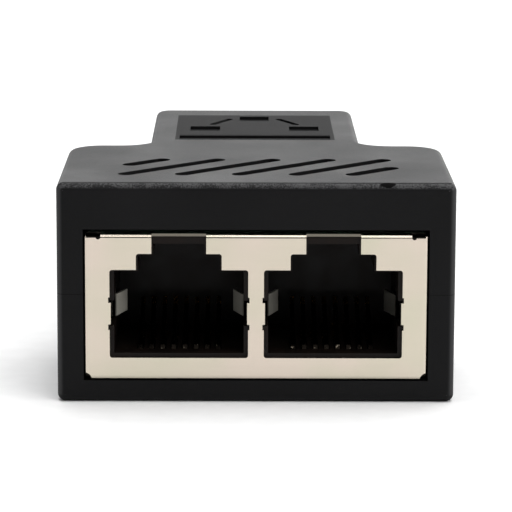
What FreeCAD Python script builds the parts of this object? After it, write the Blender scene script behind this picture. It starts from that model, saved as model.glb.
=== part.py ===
import FreeCAD, Part
import math
import os
import re
import Sketcher
from FreeCAD import Placement, Rotation, Vector

# A splitter that joins one network port at its back to two ports at its front, in a
# T-shaped housing of two moulded shells.
# Frame: X to the right as the front is seen, Y from the front to the back, Z up.
# The origin is under the middle of the housing, on the surface that it stands on.
# Inside, a ganged double jack and a single jack hang under a T-shaped circuit board,
# with the latch side of their ports up.

doc = FreeCAD.newDocument("port_splitter")

# Driving sizes, in millimetres and degrees.
SIZES = [
    ("opening_width", 12.55, "port opening in the shield"),
    ("opening_base", 2.03, "port opening above the underside of the shield"),
    ("opening_height", 8.13, "wide part of the port opening"),
    ("opening_radius", 0.25, "corners of the port opening"),
    ("step_width", 7.75, "middle part of the port opening, under the latch"),
    ("step_rise", 1.48, "middle part above the wide part"),
    ("latch_width", 4.95, "slot for the latch, up through the fold"),
    ("latch_cut", 0.45, "how far the latch slot cuts back into the top"),
    ("port_web", 1.42, "sheet between the openings of the two front ports"),
    ("face_margin", 2.29, "opening to the side of the front shield"),
    ("rear_face_margin", 1.925, "opening to the side of the rear shield"),
    ("face_headroom", 1.79, "middle part of the opening to the top of the shield"),
    ("sheet", 0.25, "thickness of the shields"),
    ("fold_radius", 0.35, "outside of the shields' folds"),
    ("sheet_clearance", 0.05, "shield to the plastic inside it"),
    ("top_strip", 5.5, "how far a shield's top runs back"),
    ("relief_radius", 0.65, "round clearance cuts at the lower corners of a shield's face"),
    ("relief_width", 1.3, "clearance cuts in the fold at its upper corners, sideways"),
    ("relief_place", 0.2, "the same cuts to the side of the shield"),
    ("relief_end", 0.22, "radius of the round ends of the same cuts"),
    ("relief_depth", 1.2, "how far back all these cuts run"),
    ("leg_width", 1.2, "shield legs that go through the board"),
    ("leg_place", 9.5, "middle of the first pair of legs behind the face"),
    ("leg_spacing", 5.0, "first pair of legs to the second"),
    ("tab_height", 2.0, "spring tabs at the sides of a port"),
    ("tab_place", 6.12, "middle of a tab above the underside of the shield"),
    ("tab_straight", 3.0, "how far a tab runs straight back"),
    ("tab_reach", 6.4, "how far a tab runs back in all"),
    ("tab_slant", 1.2, "how far its end leans into the port"),
    ("tab_notch", 0.5, "cuts above and below the root of a tab"),
    ("tab_bend", 0.17, "bend line of a tab inside the opening's edge"),
    ("tab_clearance", 0.12, "back of a tab to the groove in the plastic"),
    ("tab_play", 0.175, "the same groove above and below a tab"),
    ("tab_end_room", 0.6, "the same groove behind a tab"),
    ("lip_inset", 0.4, "plastic inside the opening, at the sides and below"),
    ("step_inset", 0.15, "plastic inside the opening, at the steps"),
    ("latch_roof", 0.6, "plastic above the latch slot"),
    ("cavity_depth", 12.6, "port, from the back of the shield's face"),
    ("back_wall", 1.0, "between the port and the contact carrier"),
    ("contact_count", 8, "contacts in a port"),
    ("contact_pitch", 1.016, "one contact to the next"),
    ("contact_width", 0.4, "contact wire, sideways"),
    ("contact_thickness", 0.3, "contact wire, through the bend"),
    ("contact_bend", 0.55, "bend radius of the wire, at its middle"),
    ("contact_front", 2.9, "centre of the front bend behind the shield's face"),
    ("contact_tip_height", 5.33, "free end of the wire above the shield's underside"),
    ("contact_tip_setback", 2.7, "free end of the wire in front of the carrier's recess"),
    ("slot_skin", 0.83, "plastic under the slots for the wires"),
    ("slot_room", 0.2, "wire to the bottom of its slot"),
    ("slot_clearance", 0.11, "wire to the sides of its slot in the jack's body"),
    ("wire_clearance", 0.01, "wire to the sides of its slot in the carrier"),
    ("carrier_depth", 3.75, "block that holds the eight wires of a port"),
    ("carrier_cheek", 0.886, "the same block beside the first and the last wire"),
    ("carrier_clearance", 0.05, "the same block in its recess"),
    ("row_place", 0.95, "front row of pins behind the face of the block"),
    ("row_spacing", 1.8, "front row of pins to the rear row"),
    ("pin_rise", 0.7, "pins above the board"),
    ("peg_radius", 1.6, "pegs that locate a jack on the board"),
    ("peg_inset", 2.4, "peg axis to the side of the jack's body"),
    ("peg_place", 9.0, "peg axis behind the shield's face"),
    ("board_thickness", 1.2, "circuit board"),
    ("board_seat", 0.05, "shield to board"),
    ("board_margin", 0.25, "board to the inside of the walls"),
    ("board_setback", 0.4, "board to the inside of the end walls"),
    ("hole_radius", 0.4, "six-sided holes for the pins, to a corner"),
    ("fit_clearance", 0.15, "board to the pegs, legs and posts"),
    ("jack_gap", 12.0, "between the backs of the front and the rear jack"),
    ("shield_proud", 0.1, "how far a shield stands out of its end of the housing"),
    ("wide_wall", 2.1, "walls of the wide part"),
    ("neck_wall", 1.95, "side walls of the neck"),
    ("end_wall", 2.0, "front and rear walls"),
    ("roof", 1.8, "top of the upper shell"),
    ("floor", 2.12, "bottom of the lower shell, which the jacks rest on"),
    ("side_room", 0.4, "front shield to the walls beside it"),
    ("neck_room", 0.15, "rear shield to the walls beside it"),
    ("tail_room", 1.6, "board to the roof, for the ends of the pins"),
    ("seam_height", 10.0, "where the two shells meet"),
    ("edge_radius", 0.7, "edges round the top and the base, and the upright edges at the front"),
    ("shoulder_radius", 3.3, "upright edges where the wide part ends"),
    ("waist_radius", 3.0, "upright hollows where the neck begins"),
    ("neck_edge_radius", 1.5, "upright edges at the back of the neck"),
    ("window_clearance", 0.1, "shell to shield at the sides and below"),
    ("window_headroom", 0.42, "shell to shield above the fold"),
    ("rim_height", 0.8, "raised rim of the lower shell inside the seam"),
    ("rim_thickness", 0.8, "the same rim, measured inwards"),
    ("rim_clearance", 0.1, "rim to the rebate that takes it"),
    ("post_radius", 1.3, "posts that join the shells"),
    ("post_gap", 0.25, "front posts to the front jack and to the wall behind them"),
    ("post_set", 0.8, "post axis inside the side wall"),
    ("pin_radius", 0.7, "pins at the ends of the posts"),
    ("pin_length", 2.5, "how far a pin enters its socket"),
    ("pin_clearance", 0.05, "pin to socket, and post to post"),
    ("hold_radius", 1.0, "posts of the roof that keep the board down"),
    ("hold_place", 5.0, "the same posts behind the shield's face"),
    ("hold_clearance", 0.1, "board to those posts"),
    ("groove_width", 1.5, "slanted grooves in the top"),
    ("groove_depth", 0.6, "the same grooves, measured down"),
    ("groove_pitch", 5.22, "one groove to the next, across the housing"),
    ("groove_start", 5.35, "front end of a groove behind the front shield's face"),
    ("groove_reach", 8.34, "how far a whole groove runs back, and to the right"),
    ("groove_left", 11.94, "front end of the first whole groove, left of the middle"),
    ("left_groove_reach", 2.9, "short groove before the first one"),
    ("right_groove_reach", 3.6, "short groove after the last one"),
    ("sign_depth", 0.3, "recessed sign on the neck"),
    ("sign_bar_place", 5.1, "bar of the sign behind the waist"),
    ("sign_bar_length", 15.0, "the same bar, sideways"),
    ("sign_bar_width", 1.6, "the same bar, front to back"),
    ("sign_box", 3.0, "side of the three boxes of the sign"),
    ("sign_spread", 5.0, "middle of the neck to the two front boxes"),
    ("sign_front", 10.9, "front boxes behind the waist"),
    ("sign_reach", 7.0, "front boxes to the rear box"),
    ("sign_line", 0.35, "half the width of the lines between the boxes"),
]

sheet = doc.addObject("Spreadsheet::Sheet", "Sizes")
for row, (alias, size, note) in enumerate(SIZES, start=1):
    sheet.set(f"A{row}", alias)
    sheet.set(f"B{row}", str(size))
    sheet.set(f"C{row}", note)
    sheet.setAlias(f"B{row}", alias)
doc.recompute()

OWNERS = {alias: "Sizes" for alias, size, note in SIZES}
places = doc.addObject("App::VarSet", "Places")


def full(expression):
    """The expression with the owner put before each size's or place's name."""
    return re.sub(r"[a-z_]{4,}", lambda word: f"{OWNERS[word[0]]}.{word[0]}", str(expression))


def value(expression):
    """What the expression comes to now."""
    return float(places.evalExpression(full(expression)))


def place(name, expression):
    """Name a place that follows from the sizes."""
    places.addProperty("App::PropertyFloat", name, "Places")
    places.setExpression(name, full(expression))
    OWNERS[name] = "Places"
    doc.recompute()


def new_body(label):
    """An empty body for one sub-part."""
    body = doc.addObject("PartDesign::Body", label)
    body.Label = label
    return body


def new_sketch(body, name, plane="XY_Plane", offset="0"):
    """A sketch on one of the body's own origin planes, or offset along its normal."""
    sketch = body.newObject("Sketcher::SketchObject", name)
    support = [item for item in body.Origin.OriginFeatures if item.Role == plane]
    sketch.AttachmentSupport = [(support[0], "")]
    sketch.MapMode = "FlatFace"
    sketch.setExpression("AttachmentOffset.Base.z", full(offset))
    return sketch


def level_sketch(body, name, height):
    """A sketch in plan, at a height: its axes are X and Y."""
    return new_sketch(body, name, "XY_Plane", height)


def front_sketch(body, name, depth):
    """A sketch that faces the front, at a depth: its axes are X and Z."""
    return new_sketch(body, name, "XZ_Plane", f"-({depth})")


def side_sketch(body, name, across="0"):
    """A sketch that faces the side, at a place along X: its axes are Y and Z."""
    return new_sketch(body, name, "YZ_Plane", across)


def hold(sketch, kind, *refs):
    """Add a constraint whose last reference is an expression for its value."""
    index = sketch.addConstraint(Sketcher.Constraint(kind, *refs[:-1], value(refs[-1])))
    sketch.setExpression(f"Constraints[{index}]", full(refs[-1]))


def hold_point(sketch, geometry, end, point):
    """Hold one end (1 or 2) or the centre (3) of a piece of geometry at a point."""
    hold(sketch, "DistanceX", geometry, end, point[0])
    hold(sketch, "DistanceY", geometry, end, point[1])


def spot(point):
    """A point in a sketch, as a vector."""
    return Vector(value(point[0]), value(point[1]), 0)


def draw_outline(sketch, corners):
    """A closed outline through the corners: (across, up) or (across, up, radius).

    A corner with a radius lies between two sides that run along the sketch's axes."""
    count = len(corners)
    spots = [spot(corner) for corner in corners]
    arrive, leave = [], []
    for index, corner in enumerate(corners):
        ends = []
        for other in (spots[index - 1], spots[(index + 1) % count]):
            if len(corner) == 2:
                ends.append(corner)
                continue
            way = (other - spots[index]).normalize()
            ends.append((f"{corner[0]} + ({round(way.x)}) * ({corner[2]})",
                         f"{corner[1]} + ({round(way.y)}) * ({corner[2]})"))
        arrive.append(ends[0])
        leave.append(ends[1])
    lines = []
    for index in range(count):
        start, end = spot(leave[index]), spot(arrive[(index + 1) % count])
        lines.append(sketch.addGeometry(Part.LineSegment(start, end), False))
        hold_point(sketch, lines[index], 1, leave[index])
    for index, corner in enumerate(corners):
        before, after = lines[index - 1], lines[index]
        if len(corner) == 2:
            sketch.addConstraint(Sketcher.Constraint("Coincident", before, 2, after, 1))
            continue
        hold_point(sketch, before, 2, arrive[index])
        start, end = spot(arrive[index]), spot(leave[index])
        centre = start + end - spots[index]
        ends = [(start, before, 2), (end, after, 1)]
        if (start - centre).cross(end - centre).z < 0:
            ends.reverse()
        angles = [math.atan2(item[0].y - centre.y, item[0].x - centre.x) for item in ends]
        circle = Part.Circle(centre, Vector(0, 0, 1), value(corner[2]))
        arc = sketch.addGeometry(Part.ArcOfCircle(circle, *angles), False)
        for arc_end, (_, line, line_end) in enumerate(ends, start=1):
            sketch.addConstraint(Sketcher.Constraint("Coincident", arc, arc_end, line, line_end))
        hold(sketch, "Radius", arc, corner[2])


def draw_box(sketch, left, low, right, high):
    """A rectangle in a sketch."""
    draw_outline(sketch, [(left, low), (right, low), (right, high), (left, high)])


def draw_circle(sketch, centre, radius):
    """A circle in a sketch."""
    circle = Part.Circle(spot(centre), Vector(0, 0, 1), value(radius))
    geometry = sketch.addGeometry(circle, False)
    hold(sketch, "Radius", geometry, radius)
    hold_point(sketch, geometry, 3, centre)


def draw_hexagon(sketch, centre, radius):
    """A six-sided hole with two corners along the first axis."""
    across, up = centre
    half, rise = f"{radius} / 2", f"{radius} * sin(60)"
    draw_outline(sketch, [(f"{across} + {radius}", up), (f"{across} + {half}", f"{up} + {rise}"),
                          (f"{across} - {half}", f"{up} + {rise}"), (f"{across} - {radius}", up),
                          (f"{across} - {half}", f"{up} - {rise}"),
                          (f"{across} + {half}", f"{up} - {rise}")])


def draw_stroke(sketch, start, end, radius):
    """A straight stroke with round ends, from one centre to the other."""
    first, last, size = spot(start), spot(end), value(radius)
    way = (last - first).normalize()
    side = Vector(-way.y, way.x, 0) * size
    angle = math.atan2(way.y, way.x)
    quarter = math.pi / 2
    up = Vector(0, 0, 1)
    right = sketch.addGeometry(Part.LineSegment(first - side, last - side), False)
    cap = sketch.addGeometry(Part.ArcOfCircle(Part.Circle(last, up, size),
                                              angle - quarter, angle + quarter), False)
    left = sketch.addGeometry(Part.LineSegment(last + side, first + side), False)
    tail = sketch.addGeometry(Part.ArcOfCircle(Part.Circle(first, up, size),
                                               angle + quarter, angle + 3 * quarter), False)
    for one, other in ((right, cap), (cap, left), (left, tail), (tail, right)):
        sketch.addConstraint(Sketcher.Constraint("Tangent", one, 2, other, 1))
    for arc, centre in ((cap, end), (tail, start)):
        hold(sketch, "Radius", arc, radius)
        hold_point(sketch, arc, 3, centre)


def finish_feature(body, feature):
    """Recompute a feature that was just added, and make it the body's tip."""
    body.Tip = feature
    doc.recompute()
    return feature


def pad(body, sketch, length, backwards=False):
    """Add material along the sketch's normal, or against it."""
    feature = body.newObject("PartDesign::Pad", f"{sketch.Name}_pad")
    feature.Profile = sketch
    feature.setExpression("Length", full(length))
    feature.Reversed = backwards
    return finish_feature(body, feature)


def pocket(body, sketch, length, backwards=False):
    """Remove material against the sketch's normal, or along it; it must remove some."""
    before = body.Shape.Volume
    feature = body.newObject("PartDesign::Pocket", f"{sketch.Name}_pocket")
    feature.Profile = sketch
    feature.setExpression("Length", full(length))
    feature.Reversed = backwards
    finish_feature(body, feature)
    if not feature.Shape.Volume < before - 1e-6:
        print("removed nothing:", feature.Name)
    return feature


def fillet(body, radius, chosen):
    """Round the edges of the body's tip that the test picks."""
    base = body.Tip
    names = [f"Edge{index}" for index, edge in enumerate(base.Shape.Edges, 1) if chosen(edge)]
    feature = body.newObject("PartDesign::Fillet", f"{body.Name}_fillet")
    feature.Base = (base, names)
    feature.setExpression("Radius", full(radius))
    return finish_feature(body, feature)


def spans(edge, **limits):
    """Whether an edge's box matches the limits given, such as low_z=0 or high_x=3."""
    box = edge.BoundBox
    found = {"low_x": box.XMin, "high_x": box.XMax, "low_y": box.YMin, "high_y": box.YMax,
             "low_z": box.ZMin, "high_z": box.ZMax}
    return all(abs(found[name] - limit) < 1e-4 for name, limit in limits.items())


# Places inside a jack, in its own frame: Y back from the shield's face, Z up from its underside.
place("port_pitch", "opening_width + port_web")
place("shield_width", "port_pitch + opening_width + 2 * face_margin")
place("rear_shield_width", "opening_width + 2 * rear_face_margin")
place("shield_height", "opening_base + opening_height + step_rise + face_headroom")
place("core_base", "sheet + sheet_clearance")
place("core_top", "shield_height - core_base")
place("cavity_half", "opening_width / 2 - lip_inset")
place("cavity_base", "opening_base + lip_inset")
place("recess_front", "core_base + cavity_depth + back_wall")
place("carrier_front", "recess_front + carrier_clearance")
place("carrier_width", "contact_count * contact_pitch + 2 * carrier_cheek")
place("shield_depth", "carrier_front + carrier_depth + core_base")
place("first_row", "carrier_front + row_place")
place("second_row", "first_row + row_spacing")
place("slot_floor", "core_base + slot_skin")
place("slot_front", "contact_front - contact_bend - contact_thickness")
place("contact_run", "slot_floor + slot_room + contact_thickness / 2")
place("contact_tip_depth", "recess_front - contact_tip_setback")
place("board_underside", "shield_height + board_seat")
place("board_upside", "board_underside + board_thickness")
place("pin_top", "board_upside + pin_rise")
place("tab_face", "opening_width / 2 - tab_bend")
place("tab_back", "tab_face + sheet")

# Places of the housing and the board, which follow from the jacks, in the frame of the whole.
place("shield_front", "-shield_depth - jack_gap / 2")
place("shield_back", "shield_depth + jack_gap / 2")
place("housing_front", "shield_front + shield_proud")
place("housing_back", "shield_back - shield_proud")
place("wide_inside", "shield_width / 2 + side_room")
place("neck_inside", "rear_shield_width / 2 + neck_room")
place("wide_half", "wide_inside + wide_wall")
place("neck_half", "neck_inside + neck_wall")
place("post_front", "shield_front + shield_depth + post_gap + post_radius")
place("waist", "post_front + post_radius + post_gap + wide_wall")
place("shield_top", "floor + shield_height")
place("board_base", "floor + board_underside")
place("board_top", "floor + board_upside")
place("roof_inside", "board_top + tail_room")
place("height", "roof_inside + roof")


def tee(wide, neck, front, back_of_wide, rear, radii=None):
    """Corners of the T shape in plan, with radii for the shoulders, waist and rear edges."""
    corners = [[f"-({wide})", front], [wide, front], [wide, back_of_wide],
               [neck, back_of_wide], [neck, rear], [f"-({neck})", rear],
               [f"-({neck})", back_of_wide], [f"-({wide})", back_of_wide]]
    if radii:
        for pair, radius in zip(((2, 7), (3, 6), (4, 5)), radii):
            for index in pair:
                if radius:
                    corners[index].append(radius)
    return corners


def inside_tee(grown="0"):
    """The T shape of the housing's inside, or one grown into the walls."""
    shoulder = f"shoulder_radius - wide_wall + {grown}"
    return tee(f"wide_inside + {grown}", f"neck_inside + {grown}",
               f"housing_front + end_wall - ({grown})", f"waist - wide_wall + {grown}",
               f"housing_back - end_wall + {grown}", (shoulder, None, None))


def shell_block(label, thickness, upper):
    """One half of the housing as a solid, with every outer edge rounded but the seam."""
    shell = new_body(f"{label}_shell")
    outline = level_sketch(shell, f"{label}_outline", "seam_height")
    draw_outline(outline, tee("wide_half", "neck_half", "housing_front", "waist", "housing_back",
                              ("shoulder_radius", "waist_radius", "neck_edge_radius")))
    pad(shell, outline, thickness, not upper)
    rim, front = value("height") if upper else 0, value("housing_front")
    fillet(shell, "edge_radius", lambda edge: spans(edge, low_z=rim, high_z=rim)
           or spans(edge, low_y=front, high_y=front) and edge.BoundBox.ZLength > 1)
    return shell


def post_centres():
    """The axes of the four posts that join the shells."""
    return [(f"{side} * ({inside} - post_set)", back)
            for side in (-1, 1)
            for inside, back in (("wide_inside", "post_front"), ("neck_inside", "0"))]


def draw_circles(sketch, centres, radius):
    """Circles of one radius."""
    for centre in centres:
        draw_circle(sketch, centre, radius)


def cut_windows(shell, label, low, high):
    """The openings in the end walls that the shields look out of."""
    for end, wide, start in (("front", "shield_width", "housing_front - end_wall"),
                             ("back", "rear_shield_width", "housing_back - end_wall")):
        window = front_sketch(shell, f"{label}_{end}_window", start)
        half = f"({wide} / 2 + window_clearance)"
        draw_box(window, f"-{half}", low, half, high)
        pocket(shell, window, "2 * end_wall")


def make_lower_shell():
    """The tray that the jacks rest in, with a rim inside the seam and sockets for the pins."""
    shell = shell_block("lower", "seam_height", False)
    inside = level_sketch(shell, "lower_inside", "seam_height")
    draw_outline(inside, inside_tee())
    pocket(shell, inside, "seam_height - floor")
    rim = level_sketch(shell, "lower_rim", "seam_height")
    draw_outline(rim, inside_tee())
    draw_outline(rim, inside_tee("rim_thickness"))
    pad(shell, rim, "rim_height")
    passages = level_sketch(shell, "lower_passages", "seam_height + rim_height")
    draw_circles(passages, post_centres(), "post_radius + rim_clearance")
    pocket(shell, passages, "rim_height")
    cut_windows(shell, "lower", "floor - window_clearance", "seam_height + 2 * rim_height")
    posts = level_sketch(shell, "lower_posts", "floor")
    draw_circles(posts, post_centres(), "post_radius")
    pad(shell, posts, "seam_height - pin_clearance - floor")
    sockets = level_sketch(shell, "lower_sockets", "seam_height - pin_clearance")
    draw_circles(sockets, post_centres(), "pin_radius + pin_clearance")
    pocket(shell, sockets, "pin_length + 4 * pin_clearance")
    return shell


def make_upper_shell():
    """The cover, with slanted grooves and a sign in its top, and the posts that close it."""
    shell = shell_block("upper", "height - seam_height", True)
    inside = level_sketch(shell, "upper_inside", "seam_height")
    draw_outline(inside, inside_tee())
    pocket(shell, inside, "roof_inside - seam_height", True)
    rebate = level_sketch(shell, "upper_rebate", "seam_height")
    draw_outline(rebate, inside_tee("rim_thickness + rim_clearance"))
    pocket(shell, rebate, "rim_height + rim_clearance", True)
    cut_windows(shell, "upper", "seam_height - rim_height", "shield_top + window_headroom")

    posts = level_sketch(shell, "upper_posts", "seam_height + pin_clearance")
    draw_circles(posts, post_centres(), "post_radius")
    pad(shell, posts, "roof_inside - seam_height - pin_clearance")
    pins = level_sketch(shell, "upper_pins", "seam_height + pin_clearance")
    draw_circles(pins, post_centres(), "pin_radius")
    pad(shell, pins, "pin_length", True)
    holders = level_sketch(shell, "upper_holders", "board_top + hold_clearance")
    draw_circles(holders, [("-port_pitch / 2", "shield_front + hold_place"),
                           ("port_pitch / 2", "shield_front + hold_place"),
                           ("0", "shield_back - hold_place")], "hold_radius")
    pad(shell, holders, "roof_inside - board_top - hold_clearance")

    grooves = level_sketch(shell, "grooves", "height")
    for start, end in groove_lines():
        draw_stroke(grooves, start, end, "groove_width / 2")
    pocket(shell, grooves, "groove_depth")
    cut_sign(shell)
    return shell


def groove_lines():
    """Start and end of each slanted groove: four whole ones between two short ones."""
    lines = []
    for number in range(4):
        across = f"-groove_left + {number} * groove_pitch"
        start = (across, "shield_front + groove_start")
        end = (f"{across} + groove_reach", "shield_front + groove_start + groove_reach")
        lines.append((start, end))
    before = "-groove_left - groove_pitch + groove_reach"
    ending = "shield_front + groove_start + groove_reach"
    lines.insert(0, ((f"{before} - left_groove_reach", f"{ending} - left_groove_reach"),
                     (before, ending)))
    after = "-groove_left + 4 * groove_pitch"
    begin = "shield_front + groove_start"
    lines.append(((after, begin), (f"{after} + right_groove_reach", f"{begin} + right_groove_reach")))
    return lines


def cut_sign(shell):
    """A plain sign on the neck: a bar, and one box that forks to two boxes."""
    sign = level_sketch(shell, "sign", "height")
    bar = "waist + sign_bar_place"
    draw_box(sign, "-sign_bar_length / 2", f"{bar} - sign_bar_width / 2",
             "sign_bar_length / 2", f"{bar} + sign_bar_width / 2")
    for across, back in (("-sign_spread", "sign_front"), ("sign_spread", "sign_front"),
                         ("0", "sign_front + sign_reach")):
        draw_box(sign, f"{across} - sign_box / 2", f"waist + {back} - sign_box / 2",
                 f"{across} + sign_box / 2", f"waist + {back} + sign_box / 2")
    for side in (-1, 1):
        start = (f"{side} * (sign_spread - sign_box / 4)", "waist + sign_front + sign_box")
        end = (f"{side} * (sign_box / 2 + 3 * sign_line)",
               "waist + sign_front + sign_reach - sign_line")
        draw_stroke(sign, start, end, "sign_line")
    pocket(shell, sign, "sign_depth")


FRONT_PORTS = {"front_left": "-port_pitch / 2", "front_right": "port_pitch / 2"}
REAR_PORTS = {"rear": "0"}


def stand(body, at_back, across="0"):
    """Put a piece of a jack, made in the jack's own frame, at its end of the housing."""
    body.Placement = Placement(Vector(), Rotation(Vector(0, 0, 1), 180 if at_back else 0))
    side = -1 if at_back else 1
    body.setExpression("Placement.Base.x", full(f"{side} * ({across})"))
    body.setExpression("Placement.Base.y", full("shield_back" if at_back else "shield_front"))
    body.setExpression("Placement.Base.z", full("floor"))
    doc.recompute()


def port_outline(middle, inset, step_inset, top, radius=None):
    """The stepped outline of a port: wide below, narrower in the middle, a slot on top."""
    wide = f"(opening_width / 2 - {inset})"
    step = f"(step_width / 2 - {step_inset})"
    slot = f"(latch_width / 2 - {step_inset})"
    low = f"opening_base + {inset}"
    shoulder = f"opening_base + opening_height - {step_inset}"
    ledge = f"opening_base + opening_height + step_rise - {step_inset}"
    right = [(wide, low, radius), (wide, shoulder, radius), (step, shoulder, None),
             (step, ledge, radius), (slot, ledge, None), (slot, top, None)]
    corners = []
    for side, half in (("+", right), ("-", right[::-1])):
        for across, height, rounding in half:
            corner = (f"{middle} {side} {across}", height)
            corners.append(corner + (rounding,) if rounding else corner)
    return corners


def tab_outline(middle, side):
    """A spring tab in plan: out of the edge of the opening, straight back, then inwards."""
    def point(across, back, *radius):
        return (f"{middle} + {side} * ({across})", back) + radius
    return [point("opening_width / 2 + sheet", "0"), point("tab_face", "0", "sheet"),
            point("tab_face", "tab_straight"), point("tab_face - tab_slant", "tab_reach"),
            point("tab_back - tab_slant", "tab_reach"),
            point("tab_back", "tab_straight"), point("tab_back", "sheet"),
            point("opening_width / 2 + sheet", "sheet")]


def make_shield(label, wide, ports, at_back):
    """A folded sheet cover: closed round the jack, open to the board behind its top strip."""
    body = new_body(label)
    half = f"({wide} / 2)"
    inner = f"({wide} / 2 - sheet)"
    face = front_sketch(body, f"{label}_face", "0")
    draw_box(face, f"-{half}", "0", half, "shield_height")
    pad(body, face, "shield_depth", True)
    fillet(body, "fold_radius", lambda edge: spans(edge, low_y=0))
    inside = front_sketch(body, f"{label}_inside", "sheet")
    draw_box(inside, f"-{inner}", "sheet", inner, "shield_height - sheet")
    pocket(body, inside, "shield_depth - 2 * sheet")
    top = level_sketch(body, f"{label}_top", "shield_height + sheet")
    draw_box(top, f"-{inner}", "top_strip", inner, "shield_depth - sheet")
    pocket(body, top, "3 * sheet")

    reliefs = front_sketch(body, f"{label}_reliefs", "-sheet")
    for side in (-1, 1):
        edge = f"{side} * {half}"
        draw_circle(reliefs, (edge, "0"), "relief_radius")
        ends = (f"{edge} - {side} * (relief_place + relief_width)",
                f"{edge} - {side} * relief_place")
        left, right = ends if side > 0 else ends[::-1]
        draw_box(reliefs, left, "shield_height - sheet", right, "shield_height + sheet")
    pocket(body, reliefs, "relief_depth + sheet")
    ends = front_sketch(body, f"{label}_relief_ends", "-sheet")
    for side in (-1, 1):
        draw_circle(ends, (f"{side} * ({half} - relief_place - relief_width + relief_end)",
                           "shield_height - sheet"), "relief_end")
    pocket(body, ends, "2 * sheet")

    for name, middle in ports.items():
        opening = front_sketch(body, f"{name}_opening", "-sheet")
        draw_outline(opening, port_outline(middle, "0", "0", "shield_height + sheet",
                                           "opening_radius"))
        pocket(body, opening, "sheet + latch_cut")
        notches = front_sketch(body, f"{name}_tab_notches", "-sheet")
        for side in (-1, 1):
            edges = (f"{middle} + {side} * (opening_width / 2 - sheet)",
                     f"{middle} + {side} * (opening_width / 2 + sheet / 2)")
            left, right = edges if side > 0 else edges[::-1]
            draw_box(notches, left, "tab_place + tab_height / 2",
                     right, "tab_place + tab_height / 2 + tab_notch")
            draw_box(notches, left, "tab_place - tab_height / 2 - tab_notch",
                     right, "tab_place - tab_height / 2")
        pocket(body, notches, "3 * sheet")
        tabs = level_sketch(body, f"{name}_tabs", "tab_place - tab_height / 2")
        for side in (-1, 1):
            draw_outline(tabs, tab_outline(middle, side))
        pad(body, tabs, "tab_height")

    for name, across in (("left", f"-{half}"), ("right", inner)):
        legs = side_sketch(body, f"{label}_{name}_legs", across)
        for back in ("leg_place", "leg_place + leg_spacing"):
            draw_box(legs, f"{back} - leg_width / 2", "shield_height - 2 * fold_radius",
                     f"{back} + leg_width / 2", "pin_top")
        pad(body, legs, "sheet")
    stand(body, at_back)
    return body


def contact_places(middle):
    """Where the contacts of a port lie: along X, and how far back their pins are."""
    count = round(value("contact_count"))
    for number in range(count):
        across = f"{middle} + ({number} - (contact_count - 1) / 2) * contact_pitch"
        yield number + 1, across, "second_row" if number % 2 else "first_row"


def make_jack_core(label, wide, ports, at_back):
    """The moulding inside a shield: ports, slots for the wires, recesses and pegs."""
    body = new_body(label)
    half = f"({wide} / 2 - core_base)"
    block = front_sketch(body, f"{label}_block", "core_base")
    draw_box(block, f"-{half}", "core_base", half, "core_top")
    pad(body, block, "shield_depth - 2 * core_base", True)
    for name, middle in ports.items():
        cavity = front_sketch(body, f"{name}_cavity", "core_base")
        draw_outline(cavity, port_outline(middle, "lip_inset", "step_inset",
                                          "core_top - latch_roof"))
        pocket(body, cavity, "cavity_depth")
        grooves = front_sketch(body, f"{name}_tab_grooves", "core_base")
        for side in (-1, 1):
            edges = (f"{middle} + {side} * (cavity_half - sheet)",
                     f"{middle} + {side} * (tab_back + tab_clearance)")
            left, right = edges if side > 0 else edges[::-1]
            draw_box(grooves, left, "tab_place - tab_height / 2 - tab_play",
                     right, "tab_place + tab_height / 2 + tab_play")
        pocket(body, grooves, "tab_reach + tab_end_room - core_base")
        recess = front_sketch(body, f"{name}_recess", "recess_front")
        recess_half = "(carrier_width / 2 + carrier_clearance)"
        draw_box(recess, f"{middle} - {recess_half}", "slot_floor - carrier_clearance",
                 f"{middle} + {recess_half}", "shield_height")
        pocket(body, recess, "carrier_clearance + carrier_depth + core_base")
        window = front_sketch(body, f"{name}_window", "recess_front - 1.5 * back_wall")
        window_half = "(contact_count * contact_pitch / 2)"
        draw_box(window, f"{middle} - {window_half}", "slot_floor",
                 f"{middle} + {window_half}", "contact_run + 2 * contact_thickness")
        pocket(body, window, "2 * back_wall")
        slots = front_sketch(body, f"{name}_slots", "slot_front")
        for number, across, row in contact_places(middle):
            draw_box(slots, f"{across} - contact_width / 2 - slot_clearance", "slot_floor",
                     f"{across} + contact_width / 2 + slot_clearance",
                     "cavity_base + sheet_clearance")
        pocket(body, slots, "recess_front - slot_front")
    pegs = level_sketch(body, f"{label}_pegs", "core_top")
    for side in (-1, 1):
        draw_circle(pegs, (f"{side} * ({half} - peg_inset)", "peg_place"), "peg_radius")
    pad(body, pegs, "board_upside - core_top")
    stand(body, at_back)
    return body


def make_carrier(label, middle, at_back):
    """The block behind a port that holds its eight wires in open slots."""
    body = new_body(f"{label}_contact_carrier")
    block = level_sketch(body, f"{label}_carrier_block", "slot_floor")
    draw_box(block, "-carrier_width / 2", "carrier_front",
             "carrier_width / 2", "shield_depth - core_base")
    pad(body, block, "core_top - slot_floor")
    slots = level_sketch(body, f"{label}_carrier_slots", "core_top")
    for number, across, row in contact_places("0"):
        half = "(contact_width / 2 + wire_clearance)"
        draw_box(slots, f"{across} - {half}", "carrier_front - carrier_clearance",
                 f"{across} + {half}", f"{row} + contact_thickness / 2 + wire_clearance")
    pocket(body, slots, "core_top - slot_floor")
    stand(body, at_back, middle)
    return body


def wire_corners(row):
    """Where a wire's run turns, from its pin to its free end: its front bend has four corners."""
    near, far = "contact_front - contact_bend", "contact_front - contact_bend * tan(22.5)"
    return [(row, "pin_top"), (row, "contact_run"), (far, "contact_run"),
            (near, "contact_run + contact_bend * (1 - tan(22.5))"),
            (near, "contact_run + contact_bend * (1 + tan(22.5))"),
            (far, "contact_run + 2 * contact_bend"),
            ("contact_tip_depth", "contact_tip_height")]


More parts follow.
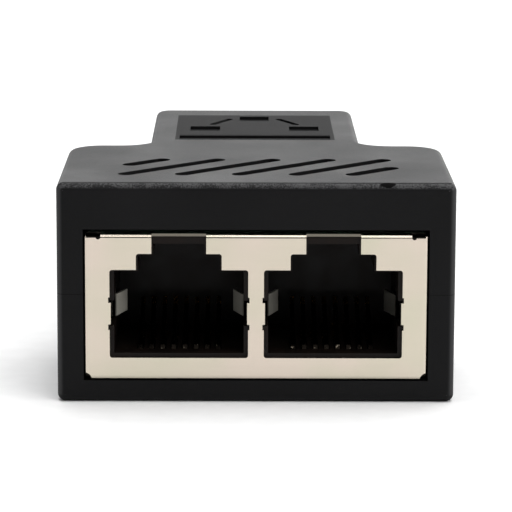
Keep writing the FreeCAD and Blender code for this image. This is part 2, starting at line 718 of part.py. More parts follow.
def make_contact(label, across, row, at_back):
    """One bent wire: a pin down from the board, a level run forward, and a spring blade back."""
    body = new_body(label)
    path = side_sketch(body, f"{label}_path")
    corners = wire_corners(row)
    for start, end in zip(corners, corners[1:]):
        line = path.addGeometry(Part.LineSegment(spot(start), spot(end)), False)
        if line:
            path.addConstraint(Sketcher.Constraint("Coincident", line - 1, 2, line, 1))
        else:
            hold_point(path, line, 1, start)
        hold_point(path, line, 2, end)

    section = level_sketch(body, f"{label}_section", "pin_top")
    draw_box(section, "-contact_width / 2", f"{row} - contact_thickness / 2",
             "contact_width / 2", f"{row} + contact_thickness / 2")
    wire = body.newObject("PartDesign::AdditivePipe", f"{label}_wire")
    wire.Profile = section
    wire.Spine = path
    wire.Transition = "Right corner"
    finish_feature(body, wire)
    stand(body, at_back, across)
    return body


def make_board():
    """The circuit board: a T with holes for pins and pegs, and notches for legs and posts."""
    body = new_body("circuit_board")
    outline = level_sketch(body, "board_outline", "board_base")
    draw_outline(outline, tee("wide_inside - board_margin", "neck_inside - board_margin",
                              "housing_front + end_wall + board_setback",
                              "shield_front + shield_depth",
                              "housing_back - end_wall - board_setback"))
    pad(body, outline, "board_thickness")
    holes = level_sketch(body, "board_holes", "board_top")
    draw_circles(holes, post_centres()[1::2], "post_radius + fit_clearance")
    for ports, wide, side in ((FRONT_PORTS, "shield_width", 1), (REAR_PORTS, "rear_shield_width", -1)):
        face = "shield_front" if side > 0 else "shield_back"
        for hand in (-1, 1):
            peg = f"{hand} * ({wide} / 2 - core_base - peg_inset)"
            draw_circle(holes, (peg, f"{face} + {side} * peg_place"), "peg_radius + fit_clearance")
        for name, middle in ports.items():
            pins = level_sketch(body, f"{name}_pin_holes", "board_top")
            for number, across, row in contact_places(middle):
                draw_hexagon(pins, (f"{side} * ({across})", f"{face} + {side} * {row}"),
                             "hole_radius")
            pocket(body, pins, "board_thickness")
    pocket(body, holes, "board_thickness")
    notches = level_sketch(body, "board_notches", "board_top")
    for wide, side, face in (("shield_width", 1, "shield_front"),
                             ("rear_shield_width", -1, "shield_back")):
        for hand in (-1, 1):
            edges = (f"{hand} * ({wide} / 2 - sheet - fit_clearance)", f"{hand} * ({wide} / 2 + 1)")
            left, right = edges if hand > 0 else edges[::-1]
            for back in ("leg_place", "leg_place + leg_spacing"):
                ends = (f"{face} + {side} * ({back} - leg_width / 2 - fit_clearance)",
                        f"{face} + {side} * ({back} + leg_width / 2 + fit_clearance)")
                low, high = ends if side > 0 else ends[::-1]
                draw_box(notches, left, low, right, high)
    pocket(body, notches, "board_thickness")
    return body


pieces = [make_lower_shell(), make_upper_shell(), make_board()]
for end, wide, ports, at_back in (("front", "shield_width", FRONT_PORTS, False),
                                  ("rear", "rear_shield_width", REAR_PORTS, True)):
    pieces.append(make_shield(f"{end}_shield", wide, ports, at_back))
    pieces.append(make_jack_core(f"{end}_jack_body", wide, ports, at_back))
    for name, middle in ports.items():
        pieces.append(make_carrier(name, middle, at_back))
        for number, across, row in contact_places(middle):
            pieces.append(make_contact(f"{name}_contact_{number}", across, row, at_back))
doc.recompute()

faults = [f"{item.Name}: {item.State}" for item in doc.Objects
          if "Invalid" in item.State or "Error" in item.State]
faults += [f"{piece.Label}: not a sound solid" for piece in pieces
           if piece.Shape.isNull() or not piece.Shape.isValid() or len(piece.Shape.Solids) != 1]
if faults:
    raise SystemExit("\n".join(faults))

os.makedirs("parts", exist_ok=True)
for piece in pieces:
    piece.Shape.exportStep(f"parts/{piece.Label}.step")
box = Part.makeCompound([piece.Shape for piece in pieces]).BoundBox
print(f"{len(pieces)} pieces, {box.XLength:.2f} by {box.YLength:.2f} by {box.ZLength:.2f} mm")
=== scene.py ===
# %% [markdown]
# # A network port splitter, dressed for its picture
#
# The object is a small T-shaped adapter. One network cable goes in at the back of its neck,
# and two come out of the wide front, where a folded metal cover surrounds two stepped ports.
# The solids are already exact, so this notebook models nothing but the table. It gives every
# piece the finish of the real one, and sets the camera and the light of the photograph. What is
# too small for the solids, such as a flake missing from an edge, is drawn in the finishes.

# %% Load the solids
import math

import bmesh
import bpy
from mathutils import Matrix, Vector

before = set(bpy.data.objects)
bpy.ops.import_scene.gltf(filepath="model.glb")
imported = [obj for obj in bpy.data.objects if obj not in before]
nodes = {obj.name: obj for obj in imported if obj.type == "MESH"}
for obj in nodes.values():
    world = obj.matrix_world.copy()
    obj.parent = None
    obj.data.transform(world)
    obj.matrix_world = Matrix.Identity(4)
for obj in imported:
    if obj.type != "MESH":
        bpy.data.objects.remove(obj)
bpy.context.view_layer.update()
scene = bpy.context.scene
MM = 0.001

# %% [markdown]
# ## The camera
#
# The photograph was taken with a long lens from a little above. A camera can be turned by hand
# until the picture looks right, but a tenth of a degree moves everything by five pixels. Here
# its place was worked out: the ports' middles are 13.97 mm apart, and every straight edge gives
# one more equation. It stands 253 mm in front of the object and 62 mm above the table, and
# looks down by 10.9 degrees. The picture is also rolled by a fifth of a degree, which the eye
# doesn't see but a comparison does.

# %% Place the camera
PITCH, YAW, ROLL = (math.radians(angle) for angle in (10.900, 0.363, 0.218))
CAMERA_PLACE = Vector((-1.620, -276.618, 62.244)) * MM
FOCAL_PIXELS, IMAGE_PIXELS = 2852.1, 512
SENSOR = 36.0
NEAREST, FARTHEST = 0.01, 10

ahead = Vector((math.sin(YAW) * math.cos(PITCH), math.cos(YAW) * math.cos(PITCH),
                -math.sin(PITCH)))
level_right = Vector((math.cos(YAW), -math.sin(YAW), 0))
level_up = level_right.cross(ahead)
right = level_right * math.cos(ROLL) + level_up * math.sin(ROLL)
up = level_up * math.cos(ROLL) - level_right * math.sin(ROLL)

lens = bpy.data.cameras.new("camera")
lens.sensor_width = SENSOR
lens.lens = FOCAL_PIXELS / IMAGE_PIXELS * SENSOR
lens.clip_start, lens.clip_end = NEAREST, FARTHEST
lens.dof.use_dof = False
camera = bpy.data.objects.new("camera", lens)
turned = Matrix((right, up, -ahead)).transposed().to_4x4()
camera.matrix_world = Matrix.Translation(CAMERA_PLACE) @ turned
scene.collection.objects.link(camera)
scene.camera = camera
print("lens", round(lens.lens, 1), "mm, camera", [round(part, 4) for part in camera.location])

# %% [markdown]
# ## Colours
#
# A colour is easiest to read as the hex value that a colour picker gives, which is sRGB. A
# shader wants linear light, where half the number is half the light. The numbers could be
# turned by hand, but then nobody could compare them with the object, so one function does it.

# %% Turn a hex colour into linear light
def colour(hex_value):
    """An sRGB hex value such as "1a1b1c" as linear light, with full opacity."""
    parts = [int(hex_value[place:place + 2], 16) / 255 for place in (0, 2, 4)]
    linear = [part / 12.92 if part <= 0.04045 else ((part + 0.055) / 1.055) ** 2.4
              for part in parts]
    return (*linear, 1.0)


print("the housing's black is", [round(part, 4) for part in colour("0c0c0d")])

# %% [markdown]
# ## Nodes
#
# A material is a tree of nodes, each with a few settings and links. Written out in full, a
# node takes three lines or more, and they hide what the material does. So one function adds
# a node of any kind, with its settings and what it is linked to. It names a socket by its
# label, or by its number where a node has several with the same label.

# %% Start a material, and add nodes to it
def add_node(tree, kind, inputs=None, stops=None, **settings):
    """Add a node. An input is a value or the socket it comes from; stops fill a colour ramp."""
    node = tree.nodes.new("ShaderNode" + kind)
    for name, setting in settings.items():
        setattr(node, name, setting)
    for name, source in (inputs or {}).items():
        if isinstance(source, bpy.types.NodeSocket):
            tree.links.new(source, node.inputs[name])
        else:
            node.inputs[name].default_value = source
    for number, (position, shade) in enumerate(stops or []):
        elements = node.color_ramp.elements
        element = elements[number] if number < len(elements) else elements.new(position)
        element.position = position
        element.color = shade
    return node


def new_material(name):
    """An empty material with its node tree and the tree's output node."""
    material = bpy.data.materials.new(name)
    material.use_nodes = True
    tree = material.node_tree
    tree.nodes.clear()
    print("material", name)
    return material, tree, add_node(tree, "OutputMaterial")


# %% [markdown]
# ## Moulded ABS, spark-eroded
#
# The housing is black ABS. Its mould was finished by spark erosion, which leaves a fine, even
# grit, so the plastic looks matt from the front and turns grey where light grazes it. The grit
# could be painted as a pattern, but then it would stay the same under any light. As a bump it
# catches the light as the real one does. A grit of about 0.05 mm would vanish here, where a
# pixel is 0.09 mm, so it is drawn coarser than it is, at 0.16 mm. A second, wide noise makes
# the shade and the gloss a little uneven, as handling does.

# %% The housing's grit, shade and gloss
def per_metre(millimetres):
    """The texture scale that gives a pattern this size in an object measured in metres."""
    return 1 / (millimetres * MM)


GRIT, HANDLING = per_metre(0.16), per_metre(9)
GRIT_HEIGHT = 0.04 * MM
abs_plastic, tree, output = new_material("abs_spark_eroded_black")
coordinates = add_node(tree, "TexCoord")
place = coordinates.outputs["Object"]
grit = add_node(tree, "TexNoise", {"Vector": place, "Scale": GRIT, "Detail": 3.0,
                                   "Roughness": 0.6})
bump = add_node(tree, "Bump", {"Height": grit.outputs["Fac"], "Strength": 0.5,
                               "Distance": GRIT_HEIGHT})
handling = add_node(tree, "TexNoise", {"Vector": place, "Scale": HANDLING, "Detail": 4.0})
shade = add_node(tree, "ValToRGB", {"Fac": handling.outputs["Fac"]},
                 stops=[(0.3, colour("0c0c0d")), (0.7, colour("121213"))])
gloss = add_node(tree, "MapRange", {"Value": handling.outputs["Fac"], "From Min": 0.3,
                                    "From Max": 0.7, "To Min": 0.5, "To Max": 0.58})
print("grit, texture scale", round(GRIT), "a metre, handling", round(HANDLING))

# %% [markdown]
# ## Where hands rub the housing, with a painted highlight
#
# On the real one the edges at the front and the back are rubbed: the crests of the grit are
# worn smooth and pale, which draws a speckled grey line along the top edge. That line is partly
# wear and partly a highlight, so its pale colour is partly a painted highlight. Such wear could
# be painted along each edge by hand. Here the surface's own direction finds the edges: a flat
# face looks along one axis, and a rounded edge looks between two. Four limits then keep the
# wear and the painted highlight where they belong: off edges that face down, which stay in
# shade, off those that run front to back, off the grooves in the top, and on the crests of the
# grit alone.

# %% Find the rounded edges, and limit the wear to some of them
FLAT, ROUNDED = 0.98, 0.86
FACES_DOWN, FACES_LEVEL = -0.25, 0.0
FACES_SIDE, FACES_END = 0.1, 0.3
END_PLACE = 21.0 * MM

normal = coordinates.outputs["Normal"]
rise = add_node(tree, "SeparateXYZ", {0: normal}).outputs["Z"]
unsigned = add_node(tree, "VectorMath", {0: normal}, operation="ABSOLUTE")
facing = add_node(tree, "SeparateXYZ", {0: unsigned.outputs[0]})
sideways = add_node(tree, "Math", {0: facing.outputs["X"], 1: facing.outputs["Y"]},
                    operation="MAXIMUM")
flattest = add_node(tree, "Math", {0: sideways.outputs[0], 1: facing.outputs["Z"]},
                    operation="MAXIMUM")
edge = add_node(tree, "MapRange", {"Value": flattest.outputs[0], "From Min": FLAT,
                                   "From Max": ROUNDED})
# Edges that face down are left out: they stay in shade, so the painted highlight keeps off them.
upward = add_node(tree, "MapRange", {"Value": rise, "From Min": FACES_DOWN,
                                     "From Max": FACES_LEVEL})
endward = add_node(tree, "MapRange", {"Value": facing.outputs["Y"], "From Min": FACES_SIDE,
                                      "From Max": FACES_END})
spot = add_node(tree, "SeparateXYZ", {0: place})
from_middle = add_node(tree, "Math", {0: spot.outputs["Y"]}, operation="ABSOLUTE")
ends = add_node(tree, "Math", {0: from_middle.outputs[0], 1: END_PLACE},
                operation="GREATER_THAN")
print("edges are rubbed beyond", END_PLACE, "m from the middle")

# %% [markdown]
# ### The speckle
#
# Only crests wear, so the pale line is made of dots. The grit's own noise gives them, and a
# weaker noise, 1.3 mm wide, gathers them into loose groups, because an even row of dots would
# look printed. The upright edges are rubbed by a hand all along, so they get an even, fainter
# wear, and the speckle starts where the surface tilts upward. The pale grey of the wear is
# partly a painted highlight.

# %% Speckle the wear, make it smooth, and make it pale, partly as a painted highlight
CLUMPS, CLUMP_WEIGHT = per_metre(1.3), 0.4
UPRIGHT, TILTED = 0.1, 0.35
UPRIGHT_WEAR = 0.45
RUBBED_ROUGHNESS = 0.26

clumps = add_node(tree, "TexNoise", {"Vector": place, "Scale": CLUMPS, "Detail": 1.0})
both = add_node(tree, "Math", {0: clumps.outputs["Fac"], 1: CLUMP_WEIGHT,
                               2: grit.outputs["Fac"]}, operation="MULTIPLY_ADD")
crests = add_node(tree, "MapRange", {"Value": both.outputs[0], "From Min": 0.63,
                                     "From Max": 0.79, "To Min": 0.1, "To Max": 1.1})
tilt = add_node(tree, "MapRange", {"Value": rise, "From Min": UPRIGHT, "From Max": TILTED})
speckle = add_node(tree, "Mix", {0: tilt.outputs[0], 2: UPRIGHT_WEAR, 3: crests.outputs[0]})
wear_and_highlight_mask = edge
for limit in (upward, endward, ends, speckle):
    wear_and_highlight_mask = add_node(tree, "Math", {0: wear_and_highlight_mask.outputs[0], 1: limit.outputs[0]},
                      operation="MULTIPLY")
worn = add_node(tree, "Mix", {0: wear_and_highlight_mask.outputs[0], 2: gloss.outputs[0], 3: RUBBED_ROUGHNESS})
# The pale colour is worn plastic and partly a painted highlight on the upward edges.
pale_wear_and_highlight = add_node(tree, "MixRGB", {"Fac": wear_and_highlight_mask.outputs[0], "Color1": shade.outputs["Color"],
                                 "Color2": colour("454546")})
print("speckle gathered every", round(1 / CLUMPS / MM, 2), "mm")

# %% [markdown]
# ## A missing flake, and the seam, as painted shade
#
# A flake is broken from the top front edge, near the right end. It is 1.4 mm wide and half as
# high, so it is drawn as a matt, nearly black patch: an ellipsoid whose outline a noise makes
# ragged. Its near-black is painted shade, for the shade in the hollow that the flake leaves.
# Cut into the solid, it would need a dense mesh for so small a mark. The seam between the two
# halves of the housing is a hairline at half the height, drawn the same way as painted shade,
# because two closed shells touch so closely that hardly any light comes out between them.

# %% The flake and the seam, painted as shade
FLAKE_MIDDLE = (11.88 * MM, -23.58 * MM, 20.08 * MM)
FLAKE_SIZE = (0.72 * MM, 0.40 * MM, 0.30 * MM)
TEETH, TEETH_REACH = per_metre(0.5), 0.6 * MM
SEAM_HEIGHT, SEAM_HALF = 10.0 * MM, 0.022 * MM

ragged = add_node(tree, "TexNoise", {"Vector": place, "Scale": TEETH, "Detail": 2.0})
wander = add_node(tree, "VectorMath", {0: ragged.outputs["Color"], 1: (0.5, 0.5, 0.5)},
                  operation="SUBTRACT")
moved = add_node(tree, "VectorMath", {0: wander.outputs[0], 1: (TEETH_REACH,) * 3, 2: place},
                 operation="MULTIPLY_ADD")
offset = add_node(tree, "VectorMath", {0: moved.outputs[0], 1: FLAKE_MIDDLE},
                  operation="SUBTRACT")
scaled = add_node(tree, "VectorMath", {0: offset.outputs[0], 1: FLAKE_SIZE},
                  operation="DIVIDE")
reach = add_node(tree, "VectorMath", {0: scaled.outputs[0]}, operation="LENGTH")
flake = add_node(tree, "MapRange", {"Value": reach.outputs["Value"], "From Min": 1.1,
                                    "From Max": 0.9})
seam = add_node(tree, "Math", {0: spot.outputs["Z"], 1: SEAM_HEIGHT, 2: SEAM_HALF},
                operation="COMPARE")
hollow = add_node(tree, "Math", {0: flake.outputs[0], 1: seam.outputs[0]},
                  operation="MAXIMUM")
# Painted shade: the flake's hollow and the seam are painted nearly black.
colour_with_painted_shade = add_node(tree, "MixRGB", {"Fac": hollow.outputs[0], "Color1": pale_wear_and_highlight.outputs["Color"],
                                   "Color2": colour("040404")})
print("flake at", FLAKE_MIDDLE, "m, seam at", SEAM_HEIGHT, "m")

# %% [markdown]
# ## The field of the sign
#
# The neck carries a sunk sign: a bar, and one box that forks to two. The field round it was
# eroded deeper in the mould, so it doesn't mirror the bright wall behind the object as the
# rest of the top does, and it looks darker. The strip along the bar is the mattest. A darker
# colour wouldn't do: the plastic is nearly black, and what the eye sees of it is its gloss.
#
# The shader's index of refraction is that of ABS, 1.54. Its specular level is far below the
# usual 0.5, because the pits of the grit catch most of the light that a smooth face would
# send back.

# %% Make the field matt, and finish the housing
FIELD_BOTTOM = 19.8 * MM
MATTEST = 1.0
# The width, front and back of each field in mm, and how much of the mattest it gets.
FIELDS = ((15.8, 2.5, 19.6, 0.5), (15.0, 2.5, 5.8, 1.0))

matt = hollow.outputs[0]
above = add_node(tree, "Math", {0: spot.outputs["Z"], 1: FIELD_BOTTOM},
                 operation="GREATER_THAN")
for width, front, back, strength in FIELDS:
    across = add_node(tree, "Math", {0: spot.outputs["X"], 1: 0.0, 2: width / 2 * MM},
                      operation="COMPARE")
    along = add_node(tree, "Math", {0: spot.outputs["Y"], 1: (front + back) / 2 * MM,
                                    2: (back - front) / 2 * MM}, operation="COMPARE")
    field = add_node(tree, "Math", {0: across.outputs[0], 1: along.outputs[0]},
                     operation="MULTIPLY")
    panel = add_node(tree, "Math", {0: field.outputs[0], 1: above.outputs[0]},
                     operation="MULTIPLY")
    part = add_node(tree, "Math", {0: panel.outputs[0], 1: strength}, operation="MULTIPLY")
    matt = add_node(tree, "Math", {0: part.outputs[0], 1: matt}, operation="MAXIMUM").outputs[0]
    print("field", width, "mm wide, from", front, "to", back, "mm")
dull = add_node(tree, "Mix", {0: matt, 2: worn.outputs[0], 3: MATTEST})
surface = add_node(tree, "BsdfPrincipled", {
    "Base Color": colour_with_painted_shade.outputs["Color"], "Roughness": dull.outputs[0],
    "Normal": bump.outputs["Normal"], "IOR": 1.54, "Specular IOR Level": 0.11})
tree.links.new(surface.outputs["BSDF"], output.inputs["Surface"])


def dress(material, slot, names):
    """Give the material to these nodes, and print the slot that it finishes."""
    for name in names:
        nodes[name].data.materials.clear()
        nodes[name].data.materials.append(material)
    print(material.name, "on", len(names), "nodes, slot", slot)


dress(abs_plastic, "housing_plastic", ["lower_shell", "upper_shell"])

# %% [markdown]
# ## Plated steel, rolled and stamped
#
# Each shield is thin steel, plated with nickel, which looks a little warmer than chrome. The
# strip was rolled before it was stamped, so it has a very faint grain along its length, and the
# plating isn't quite even. The real grain is finer than a tenth of a millimetre, and is drawn
# coarser, at half a millimetre, so that it shows. A mirror finish would show a sharp picture
# of the table, and a matt one would look like paint. A roughness a little under a fifth
# spreads the picture into the soft, bright beige of the photograph.

# %% The shields' grain and tone
GRAIN, PLATING = per_metre(0.5), per_metre(7)
GRAIN_HEIGHT = 0.02 * MM
ALONG_THE_STRIP = (0.06, 1.0, 1.0)

plated_steel, tree, output = new_material("nickel_plated_steel_stamped")
place = add_node(tree, "TexCoord").outputs["Object"]
stretched = add_node(tree, "Mapping", {"Vector": place, "Scale": ALONG_THE_STRIP})
grain = add_node(tree, "TexNoise", {"Vector": stretched.outputs[0], "Scale": GRAIN,
                                    "Detail": 4.0})
bump = add_node(tree, "Bump", {"Height": grain.outputs["Fac"], "Strength": 0.06,
                               "Distance": GRAIN_HEIGHT})
gloss = add_node(tree, "MapRange", {"Value": grain.outputs["Fac"], "From Min": 0.3,
                                    "From Max": 0.7, "To Min": 0.15, "To Max": 0.2})
plating = add_node(tree, "TexNoise", {"Vector": place, "Scale": PLATING, "Detail": 2.0})
tone = add_node(tree, "ValToRGB", {"Fac": plating.outputs["Fac"]},
                stops=[(0.35, colour("c3bdab")), (0.65, colour("cbbfb2"))])
print("grain", round(1 / GRAIN / MM, 2), "mm, plating", round(1 / PLATING / MM, 2), "mm")

# %% [markdown]
# ## The shields' cut edges
#
# A stamp breaks through the strip and leaves bare steel on the cut, which isn't plated and
# goes dark. On the real shield every opening and notch therefore has a thin dark line round
# it. The cut faces could be picked one by one for a finish of their own. But they all lie a
# little behind the front face, so the depth alone tells them from it: plated in front, grey
# steel on the cut, and nearly black behind, which is painted shade where no light comes.

# %% Darken what lies behind the shields' faces
FACE, CUT = 23.66 * MM, 23.54 * MM
DEEP, SHALLOW = 22 * MM, 24 * MM

spot = add_node(tree, "SeparateXYZ", {0: place})
depth = add_node(tree, "Math", {0: spot.outputs["Y"]}, operation="ABSOLUTE")
behind = add_node(tree, "MapRange", {"Value": depth.outputs[0], "From Min": FACE,
                                     "From Max": CUT})
step = add_node(tree, "MapRange", {"Value": depth.outputs[0], "From Min": DEEP,
                                   "From Max": SHALLOW})
# Grey steel on the cut itself, and painted shade, nearly black, behind it where no light comes.
cut_steel_and_shade = add_node(tree, "ValToRGB", {"Fac": step.outputs[0]},
                 stops=[(0.5, colour("1c1a17")), (0.58, colour("5f5b53"))])
cut = add_node(tree, "MixRGB", {"Fac": behind.outputs[0], "Color1": tone.outputs["Color"],
                                "Color2": cut_steel_and_shade.outputs["Color"]})
print("the cut edges start", round(FACE / MM, 2), "mm from the middle")

# %% [markdown]
# ## The shields' springs
#
# Two spring tabs lean into each port and touch the plug's own shield. Plugs have scuffed them,
# so they are matt and pale, where clean plating would mirror the dark of the port. In the
# photograph those of the left port are the palest, so the paleness fades from left to right;
# that fade is painted light, as if falling from the right. The scuffing could be a finish of
# its own, but each shield is one folded sheet, so depth draws it too.

# %% Scuff the springs, paint a fade of light across them, and finish the shields
SPRING_START, SPRING_FULL = 20.6 * MM, 20.0 * MM
LEFT, RIGHT = -13 * MM, 13 * MM
SCUFFED_ROUGHNESS = 0.6
METAL_LOST = -0.7

blade = add_node(tree, "MapRange", {"Value": depth.outputs[0], "From Min": SPRING_START,
                                    "From Max": SPRING_FULL})
# The fade from left to right is painted light, as if falling from the right, laid on the scuffing.
scuff_and_light_fade = add_node(tree, "MapRange", {"Value": spot.outputs["X"], "From Min": LEFT,
                                      "From Max": RIGHT, "To Min": 1.05, "To Max": 0.4})
inner = add_node(tree, "Math", {0: blade.outputs[0], 1: scuff_and_light_fade.outputs[0]},
                 operation="MULTIPLY")
springs_with_painted_light = add_node(tree, "MixRGB", {"Fac": inner.outputs[0], "Color1": cut.outputs["Color"],
                                 "Color2": colour("b8b5aa")})
rough = add_node(tree, "Mix", {0: inner.outputs[0], 2: gloss.outputs[0],
                               3: SCUFFED_ROUGHNESS})
metallic = add_node(tree, "Math", {0: inner.outputs[0], 1: METAL_LOST, 2: 1.0},
                    operation="MULTIPLY_ADD")
surface = add_node(tree, "BsdfPrincipled", {
    "Base Color": springs_with_painted_light.outputs["Color"], "Roughness": rough.outputs[0],
    "Normal": bump.outputs["Normal"], "Metallic": metallic.outputs[0]})
tree.links.new(surface.outputs["BSDF"], output.inputs["Surface"])
dress(plated_steel, "shield_metal", ["front_shield", "rear_shield"])

# %% [markdown]
# ## Moulded PBT
#
# The jacks are moulded in black PBT, a stiff plastic that stands the heat of soldering. Its
# mould is smoother than the housing's, so it is a little glossier, and it has a touch of brown
# where the light enters the port. It could share the housing's material, but then the lip
# inside each opening would lose that brown line. A noise as wide as the plastic's flow, 1.6 mm,
# makes its shade and gloss uneven. Its specular level is low too, so that the ports stay as
# black inside as they are in the photograph.

# %% The jacks' plastic
FLOW = per_metre(1.6)
FLOW_HEIGHT = 0.02 * MM

jack_plastic, tree, output = new_material("pbt_moulded_black")
place = add_node(tree, "TexCoord").outputs["Object"]
flow = add_node(tree, "TexNoise", {"Vector": place, "Scale": FLOW, "Detail": 3.0})
shade = add_node(tree, "ValToRGB", {"Fac": flow.outputs["Fac"]},
                 stops=[(0.35, colour("0d0907")), (0.65, colour("140d09"))])
gloss = add_node(tree, "MapRange", {"Value": flow.outputs["Fac"], "From Min": 0.3,
                                    "From Max": 0.7, "To Min": 0.38, "To Max": 0.5})
bump = add_node(tree, "Bump", {"Height": flow.outputs["Fac"], "Strength": 0.1,
                               "Distance": FLOW_HEIGHT})
surface = add_node(tree, "BsdfPrincipled", {
    "Base Color": shade.outputs["Color"], "Roughness": gloss.outputs[0],
    "Normal": bump.outputs["Normal"], "IOR": 1.55, "Specular IOR Level": 0.12})
tree.links.new(surface.outputs["BSDF"], output.inputs["Surface"])
dress(jack_plastic, "jack_plastic",
      ["front_jack_body", "rear_jack_body"] + [name for name in nodes if name.endswith("carrier")])

# %% [markdown]
# ## Gold-plated bronze, drawn wire
#
# A contact is spring bronze with a thin coat of gold, because gold doesn't tarnish. Wire that is
# drawn and then bent has fine scratches along it. They are made as a noise that is stretched
# along the wire's run, because a picture of scratches would have to be wrapped round 24 wires.
# The real ones are about a hundredth of a millimetre wide, and these are drawn coarser, at
# 0.08 mm, to show when a port is looked into from close by.

# %% The contacts' gold
SCRATCHES = per_metre(0.08)
ALONG_THE_WIRE = (1.0, 0.1, 0.3)

gold, tree, output = new_material("gold_plated_bronze_drawn")
place = add_node(tree, "TexCoord").outputs["Object"]
along = add_node(tree, "Mapping", {"Vector": place, "Scale": ALONG_THE_WIRE})
scratches = add_node(tree, "TexNoise", {"Vector": along.outputs[0], "Scale": SCRATCHES,
                                        "Detail": 3.0})
tone = add_node(tree, "ValToRGB", {"Fac": scratches.outputs["Fac"]},
                stops=[(0.3, colour("d9ac55")), (0.7, colour("ecc77c"))])
gloss = add_node(tree, "MapRange", {"Value": scratches.outputs["Fac"], "From Min": 0.3,
                                    "From Max": 0.7, "To Min": 0.16, "To Max": 0.3})
print("scratches", round(1 / SCRATCHES / MM, 2), "mm wide, and up to ten times as long")

# %% [markdown]
# ## Painted shade and glints on the wires
#
# The gold is put only where a plug touches the wire. The bends at the mouth of the port get
# a dark colour instead, painted shade for the shadow inside the port, with a few small painted
# glints, so the port looks black with a row of dots, as in the photograph. Gold all along the
# wire would draw eight bright bars there. A compare node tells the touched stretch, which is
# 4 mm long, from the rest.

# %% Paint shade and glints on the wires beside the touched stretch, and finish them
TOUCHED_MIDDLE, TOUCHED_HALF = 12.2 * MM, 2.0 * MM
GLINT_SCALE = per_metre(0.35)

spot = add_node(tree, "SeparateXYZ", {0: place})
depth = add_node(tree, "Math", {0: spot.outputs["Y"]}, operation="ABSOLUTE")
touched = add_node(tree, "Math", {0: depth.outputs[0], 1: TOUCHED_MIDDLE, 2: TOUCHED_HALF},
                   operation="COMPARE")
painted_shade_mask = add_node(tree, "Math", {0: 1.0, 1: touched.outputs[0]}, operation="SUBTRACT")
glint_noise = add_node(tree, "TexNoise", {"Vector": place, "Scale": GLINT_SCALE, "Detail": 1.0})
# Painted shade and glints: a dark colour for the shade inside the port, with bright spots as
# glints.
painted_shade_and_glints = add_node(tree, "ValToRGB", {"Fac": glint_noise.outputs["Fac"]},
                stops=[(0.64, colour("15120f")), (0.74, colour("6f675b"))])
gold_with_painted_shade = add_node(tree, "MixRGB", {"Fac": painted_shade_mask.outputs[0], "Color1": tone.outputs["Color"],
                                   "Color2": painted_shade_and_glints.outputs["Color"]})
surface = add_node(tree, "BsdfPrincipled", {
    "Base Color": gold_with_painted_shade.outputs["Color"], "Roughness": gloss.outputs[0], "Metallic": 1.0})
tree.links.new(surface.outputs["BSDF"], output.inputs["Surface"])
dress(gold, "contact_gold", [name for name in nodes if "_contact_" in name and name[-1].isdigit()])

# %% [markdown]
# ## Glass-fibre laminate
#
# The circuit board is glass cloth in epoxy under a green solder mask. Through the mask the
# cloth's threads show as a fine square weave, half a millimetre from thread to thread. Over
# one thread and under the next, the weave repeats every millimetre. Two waves at right angles
# give that without any picture. A wave texture runs through 20 radians in a unit, and a full
# wave is 2 pi, which gives its scale. The mask is a thin clear coat, so the shader has one.

# %% The board's laminate
THREAD_MM, WAVE_RADIANS = 0.5, 20
WEAVE = 2 * math.pi / WAVE_RADIANS * per_metre(2 * THREAD_MM)
THREAD_HEIGHT = 0.02 * MM

laminate, tree, output = new_material("fr4_laminate_green_mask")
place = add_node(tree, "TexCoord").outputs["Object"]
warp, weft = (add_node(tree, "TexWave", {"Vector": place, "Scale": WEAVE}, bands_direction=way)
              for way in "XY")
weave = add_node(tree, "Math", {0: warp.outputs["Fac"], 1: weft.outputs["Fac"]},
                 operation="MAXIMUM")
tone = add_node(tree, "ValToRGB", {"Fac": weave.outputs[0]},
                stops=[(0.0, colour("0c3320")), (1.0, colour("134a2e"))])
bump = add_node(tree, "Bump", {"Height": weave.outputs[0], "Strength": 0.3,
                               "Distance": THREAD_HEIGHT})
surface = add_node(tree, "BsdfPrincipled", {
    "Base Color": tone.outputs["Color"], "Roughness": 0.32, "Normal": bump.outputs["Normal"],
    "IOR": 1.55, "Coat Weight": 0.3})
tree.links.new(surface.outputs["BSDF"], output.inputs["Surface"])
dress(laminate, "board_laminate", ["circuit_board"])

# %% [markdown]
# ## The table
#
# The photograph has a white ground with no edge. A curved backdrop is one way to get that. One
# wide floor is simpler and does as well, because the camera looks down far enough never to see
# where it ends. It is matt paper: rough, with a faint fibre, so that it shows no reflection.

# %% The floor, and its paper
FLOOR_HALF, FLOOR_CELLS = 3.0, 8
FIBRE = per_metre(2.0)

mesh = bpy.data.meshes.new("floor")
shape = bmesh.new()
bmesh.ops.create_grid(shape, x_segments=FLOOR_CELLS, y_segments=FLOOR_CELLS, size=FLOOR_HALF)
shape.to_mesh(mesh)
shape.free()
floor = bpy.data.objects.new("floor", mesh)
scene.collection.objects.link(floor)

paper, tree, output = new_material("paper_matt_white")
place = add_node(tree, "TexCoord").outputs["Object"]
fibre = add_node(tree, "TexNoise", {"Vector": place, "Scale": FIBRE, "Detail": 4.0})
tone = add_node(tree, "ValToRGB", {"Fac": fibre.outputs["Fac"]},
                stops=[(0.3, colour("f4f4f4")), (0.7, colour("f8f8f8"))])
surface = add_node(tree, "BsdfPrincipled", {
    "Base Color": tone.outputs["Color"], "Roughness": 0.9, "Specular IOR Level": 0.1})
tree.links.new(surface.outputs["BSDF"], output.inputs["Surface"])
mesh.materials.append(paper)
print("floor", len(mesh.polygons), "faces,", 2 * FLOOR_HALF, "m wide")

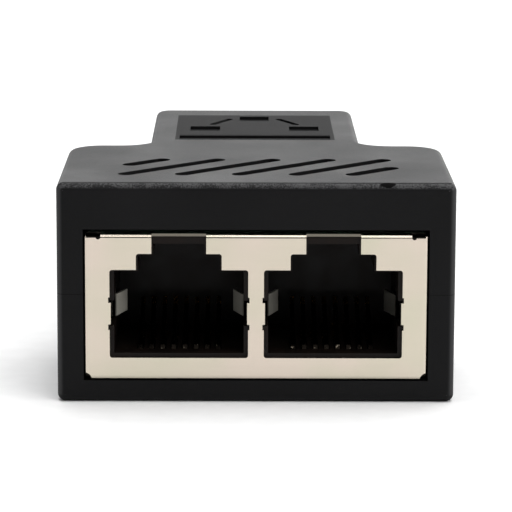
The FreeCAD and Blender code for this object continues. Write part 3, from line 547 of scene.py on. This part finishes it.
# %% [markdown]
# ## The light
#
# A black object shows little but what it mirrors, so each lamp is a soft box with a place of
# its own. The overhead box gives the soft shadow and the thin bright line along the top front
# edge. The front box lights the table before the object, and the shield mirrors that table.
# The low wall behind is mirrored by the top at a flat angle, and turns it grey. The right box
# is brighter than the left, which makes the right side the paler one. One round sky would be
# easier, but it would leave the black plastic without any line. Brightness is given for each
# patch of a box, not for the whole, so that a box can be made larger without getting brighter
# in the mirror.

# %% Five soft boxes
def soft_box(name, middle, towards, width, height, brightness):
    """A rectangular light that faces a point, with its brightness given as radiance."""
    light = bpy.data.lights.new(name, "AREA")
    light.shape = "RECTANGLE"
    light.size, light.size_y = width, height
    light.energy = brightness * math.pi * width * height
    box = bpy.data.objects.new(name, light)
    box.location = middle
    box.rotation_euler = (Vector(towards) - Vector(middle)).to_track_quat("-Z", "Y").to_euler()
    box.visible_camera = False
    scene.collection.objects.link(box)
    print(name, "gives", round(light.energy, 2), "W")


soft_box("overhead_box", (0.05, 0.2, 0.95), (0, 0.1, 0), 1.1, 1.0, 3.4)
soft_box("front_box", (0.25, -0.62, 0.72), (0, 0, 0), 0.8, 0.5, 2.6)
soft_box("rear_wall", (0.3, 0.9, 0.2), (0, 0, 0.05), 1.8, 0.26, 4.5)
soft_box("right_box", (0.85, -0.35, 0.35), (0, 0, 0.02), 0.6, 0.5, 3.0)
soft_box("left_box", (-0.85, -0.2, 0.35), (0, 0, 0.02), 0.6, 0.5, 1.0)

# %% [markdown]
# ## The sky and the film
#
# A studio has pale walls that send a little light from everywhere. They could be built, but a
# world colour gives the same light, weak enough that the ports stay black inside. The picture
# is shown with the plain standard curve and not a filmic one, so that a colour that is given
# as hex comes out as that colour.

# %% Sky and view
SKY_STRENGTH = 0.08
sky = bpy.data.worlds.new("studio")
sky.use_nodes = True
sky_light = sky.node_tree.nodes["Background"]
sky_light.inputs["Color"].default_value = colour("f2f4f6")
sky_light.inputs["Strength"].default_value = SKY_STRENGTH
scene.world = sky
scene.view_settings.view_transform = "Standard"
scene.view_settings.look = "None"
print("sky strength", SKY_STRENGTH)
